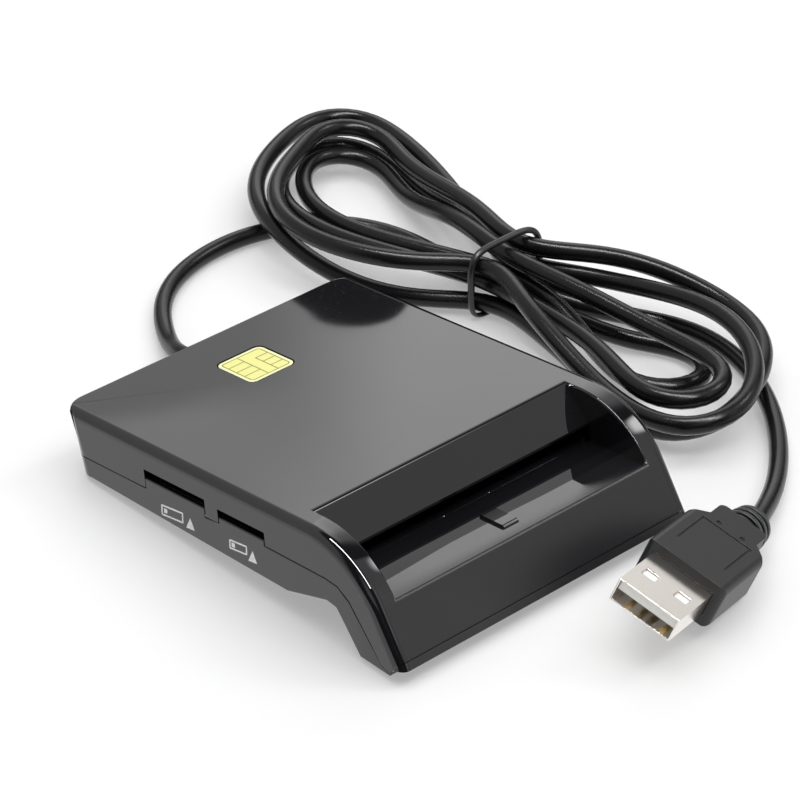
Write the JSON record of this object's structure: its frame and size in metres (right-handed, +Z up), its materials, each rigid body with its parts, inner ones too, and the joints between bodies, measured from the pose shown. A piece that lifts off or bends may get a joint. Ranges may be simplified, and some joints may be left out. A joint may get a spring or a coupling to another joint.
{
  "type": "smart card reader",
  "caption": "Flat black desktop smart card reader with a tilted deck, an open card bay at the front, two side card slots and a bundled cord ending in a flat rectangular plug.",
  "frame": {"origin": "centre of the body's footprint, at the underside of its feet, measured without the cord and plug", "axes": "+Z up, -Y towards the card bay at the front, +X to the right of someone who faces the bay's far wall"},
  "size_m": [0.1195, 0.1771, 0.0201],
  "materials": {
    "shell_black": "glossy black",
    "shell_black_lower": "glossy black",
    "emblem_gold": "pale yellow inlay",
    "board_green": "solder mask",
    "black_moulding": "moulded",
    "gold_spring": "plated",
    "steel_sheet": "plain",
    "chip_black": "moulded",
    "crystal_can": "drawn can",
    "ceramic_brown": "ceramic",
    "header_white": "moulded",
    "wire_red": "insulated wire",
    "rubber_black": "soft",
    "screw_steel": "plated",
    "cord_black": "satin sheath",
    "grip_black": "satin moulding",
    "plug_steel": "bright sheet",
    "tongue_white": "moulded"
  },
  "bodies": {
    "housing": {"upper_shell": "shell_black", "lower_shell": "shell_black_lower", "chip_emblem": "emblem_gold", "main_board": "board_green", "contact_block": "black_moulding", "detect_switch": "black_moulding", "sim_socket_base": "black_moulding", "sim_socket_cover": "steel_sheet", "tf_socket_base": "black_moulding", "tf_socket_cover": "steel_sheet", "tf_spring": "steel_sheet", "reader_chip": "chip_black", "crystal": "crystal_can", "voltage_regulator": "chip_black", "board_capacitors": "ceramic_brown", "wire_header": "header_white", "inner_wires": "wire_red", "cable_grommet": "rubber_black", "case_screws": "screw_steel", "rubber_feet": "rubber_black", "plug_grip": "grip_black", "plug_shell": "plug_steel", "plug_tongue": "tongue_white", "plug_contacts": "gold_spring", "cord_lead": "cord_black", "cord_hank": "cord_black", "cord_tail": "cord_black", "cord_tie": "black_moulding"},
    "card_contacts_front": {"card_contacts_front": "gold_spring"},
    "card_contacts_rear": {"card_contacts_rear": "gold_spring"},
    "detect_lever": {"detect_lever": "steel_sheet"},
    "sim_contacts_inner": {"sim_contacts_inner": "gold_spring"},
    "sim_contacts_outer": {"sim_contacts_outer": "gold_spring"},
    "tf_contacts": {"tf_contacts": "gold_spring"},
    "tf_slider": {"tf_slider": "black_moulding"}
  },
  "joints": [
    {"name": "rear_contacts_flex", "type": "hinge", "parent": "housing", "child": "card_contacts_rear", "pos_m": [0.0031, 0.02035, 0.00741], "axis": [1, 0, 0], "range_deg": [0, 4], "stiffness_Nm_per_rad": 0.02},
    {"name": "front_contacts_flex", "type": "hinge", "parent": "housing", "child": "card_contacts_front", "pos_m": [0.0031, 0.01277, 0.00825], "axis": [1, 0, 0], "range_deg": [0, 4], "stiffness_Nm_per_rad": 0.02},
    {"name": "card_detect_swing", "type": "hinge", "parent": "housing", "child": "detect_lever", "pos_m": [-0.012, 0.02761, 0.0076], "axis": [1, 0, 0], "range_deg": [0, 5], "stiffness_Nm_per_rad": 0.02},
    {"name": "outer_sim_contacts_flex", "type": "hinge", "parent": "housing", "child": "sim_contacts_outer", "pos_m": [-0.0277, 0.01258, 0.00968], "axis": [0, 0.9938, -0.1111], "range_deg": [0, 3.4], "stiffness_Nm_per_rad": 0.02},
    {"name": "inner_sim_contacts_flex", "type": "hinge", "parent": "housing", "child": "sim_contacts_inner", "pos_m": [-0.02008, 0.01258, 0.00968], "axis": [0, 0.9938, -0.1111], "range_deg": [0, 3.4], "stiffness_Nm_per_rad": 0.02},
    {"name": "tf_contacts_flex", "type": "hinge", "parent": "housing", "child": "tf_contacts", "pos_m": [-0.0217, -0.0051, 0.0115], "axis": [0, 0.9938, -0.1111], "range_deg": [0, 3.2], "stiffness_Nm_per_rad": 0.01},
    {"name": "tf_eject_slide", "type": "slide", "parent": "housing", "child": "tf_slider", "axis": [1, 0, 0], "range_m": [0, 0.0012], "stiffness_N_per_m": 150, "springref_m": -0.001, "deforming": ["tf_spring"]}
  ]
}
